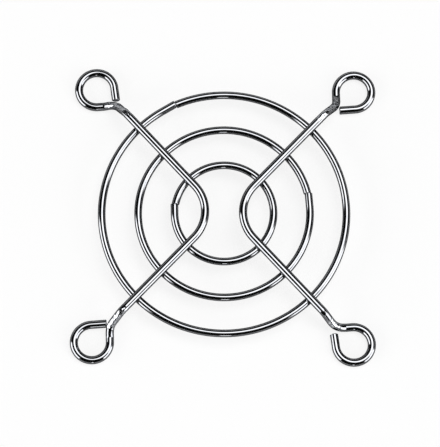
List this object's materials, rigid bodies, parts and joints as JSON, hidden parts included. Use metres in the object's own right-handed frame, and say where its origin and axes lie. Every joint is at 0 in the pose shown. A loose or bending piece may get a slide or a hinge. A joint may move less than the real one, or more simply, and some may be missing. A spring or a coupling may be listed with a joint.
{
  "type": "wire fan guard",
  "caption": "Round wire guard for an axial fan, with concentric rings under two bent support wires that end in screw eyelets.",
  "frame": {"origin": "centre of the screw pattern, on the plane that the undersides of the four eyelets rest on", "axes": "+Z out of the fan through the guard, away from the face that it is screwed to; +X and +Y along the sides of the screw square, with the two support wires at -X and +X"},
  "size_m": [0.0584, 0.0584, 0.0055],
  "materials": {
    "support_wire": "polished",
    "ring_wire": "polished"
  },
  "bodies": {
    "root": {"support_left": "support_wire", "support_right": "support_wire", "ring_outer": "ring_wire", "ring_middle": "ring_wire", "ring_inner": "ring_wire"}
  },
  "joints": []
}
